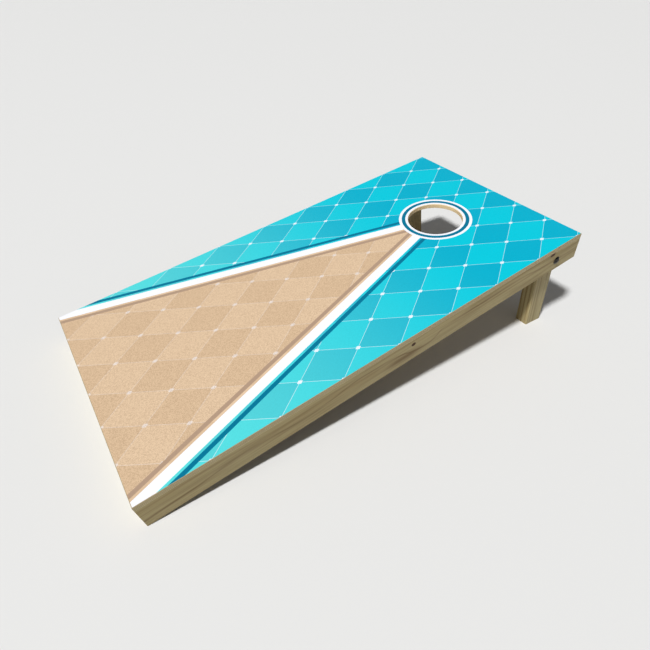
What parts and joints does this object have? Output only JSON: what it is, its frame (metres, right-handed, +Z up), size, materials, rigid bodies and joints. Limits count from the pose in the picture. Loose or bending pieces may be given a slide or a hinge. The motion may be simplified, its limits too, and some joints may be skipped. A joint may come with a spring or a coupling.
{
  "type": "cornhole board",
  "caption": "Slanted wooden bag-toss board with a round hole, a printed film over its plywood deck, a rail frame underneath and bolted fold-out legs.",
  "frame": {"origin": "on the ground under the middle of the standing board", "axes": "+X from the foot end to the hole end, +Y to the thrower's left, +Z up"},
  "size_m": [1.2152, 0.6202, 0.3048],
  "materials": {
    "plywood": "bare sanded plywood with visible layers",
    "printed_film": "satin printed film",
    "pine": "bare sanded softwood",
    "dark_steel": "black oxide",
    "zinc_steel": "zinc plated",
    "nylon": "moulded nylon"
  },
  "bodies": {
    "board": {"deck": "plywood", "deck_film": "printed_film", "left_side_rail": "pine", "right_side_rail": "pine", "foot_rail": "pine", "rear_rail": "pine", "centre_brace": "pine", "left_pivot_bolt": "dark_steel", "right_pivot_bolt": "dark_steel", "left_spacer_washer": "zinc_steel", "right_spacer_washer": "zinc_steel", "left_nut_washer": "zinc_steel", "right_nut_washer": "zinc_steel", "left_lock_nut": "zinc_steel", "right_lock_nut": "zinc_steel", "left_nylon_insert": "nylon", "right_nylon_insert": "nylon", "deck_screws": "zinc_steel", "frame_pocket_screws": "zinc_steel", "brace_pocket_screws": "zinc_steel"},
    "left_folding_leg": {"left_leg": "pine"},
    "right_folding_leg": {"right_leg": "pine"}
  },
  "joints": [
    {"name": "left_leg_fold", "type": "hinge", "parent": "board", "child": "left_folding_leg", "pos_m": [0.51447, 0.26445, 0.24462], "axis": [0, 1, 0], "range_deg": [0, 93]},
    {"name": "right_leg_fold", "type": "hinge", "parent": "board", "child": "right_folding_leg", "pos_m": [0.51447, -0.26445, 0.24462], "axis": [0, 1, 0], "range_deg": [0, 93]}
  ]
}
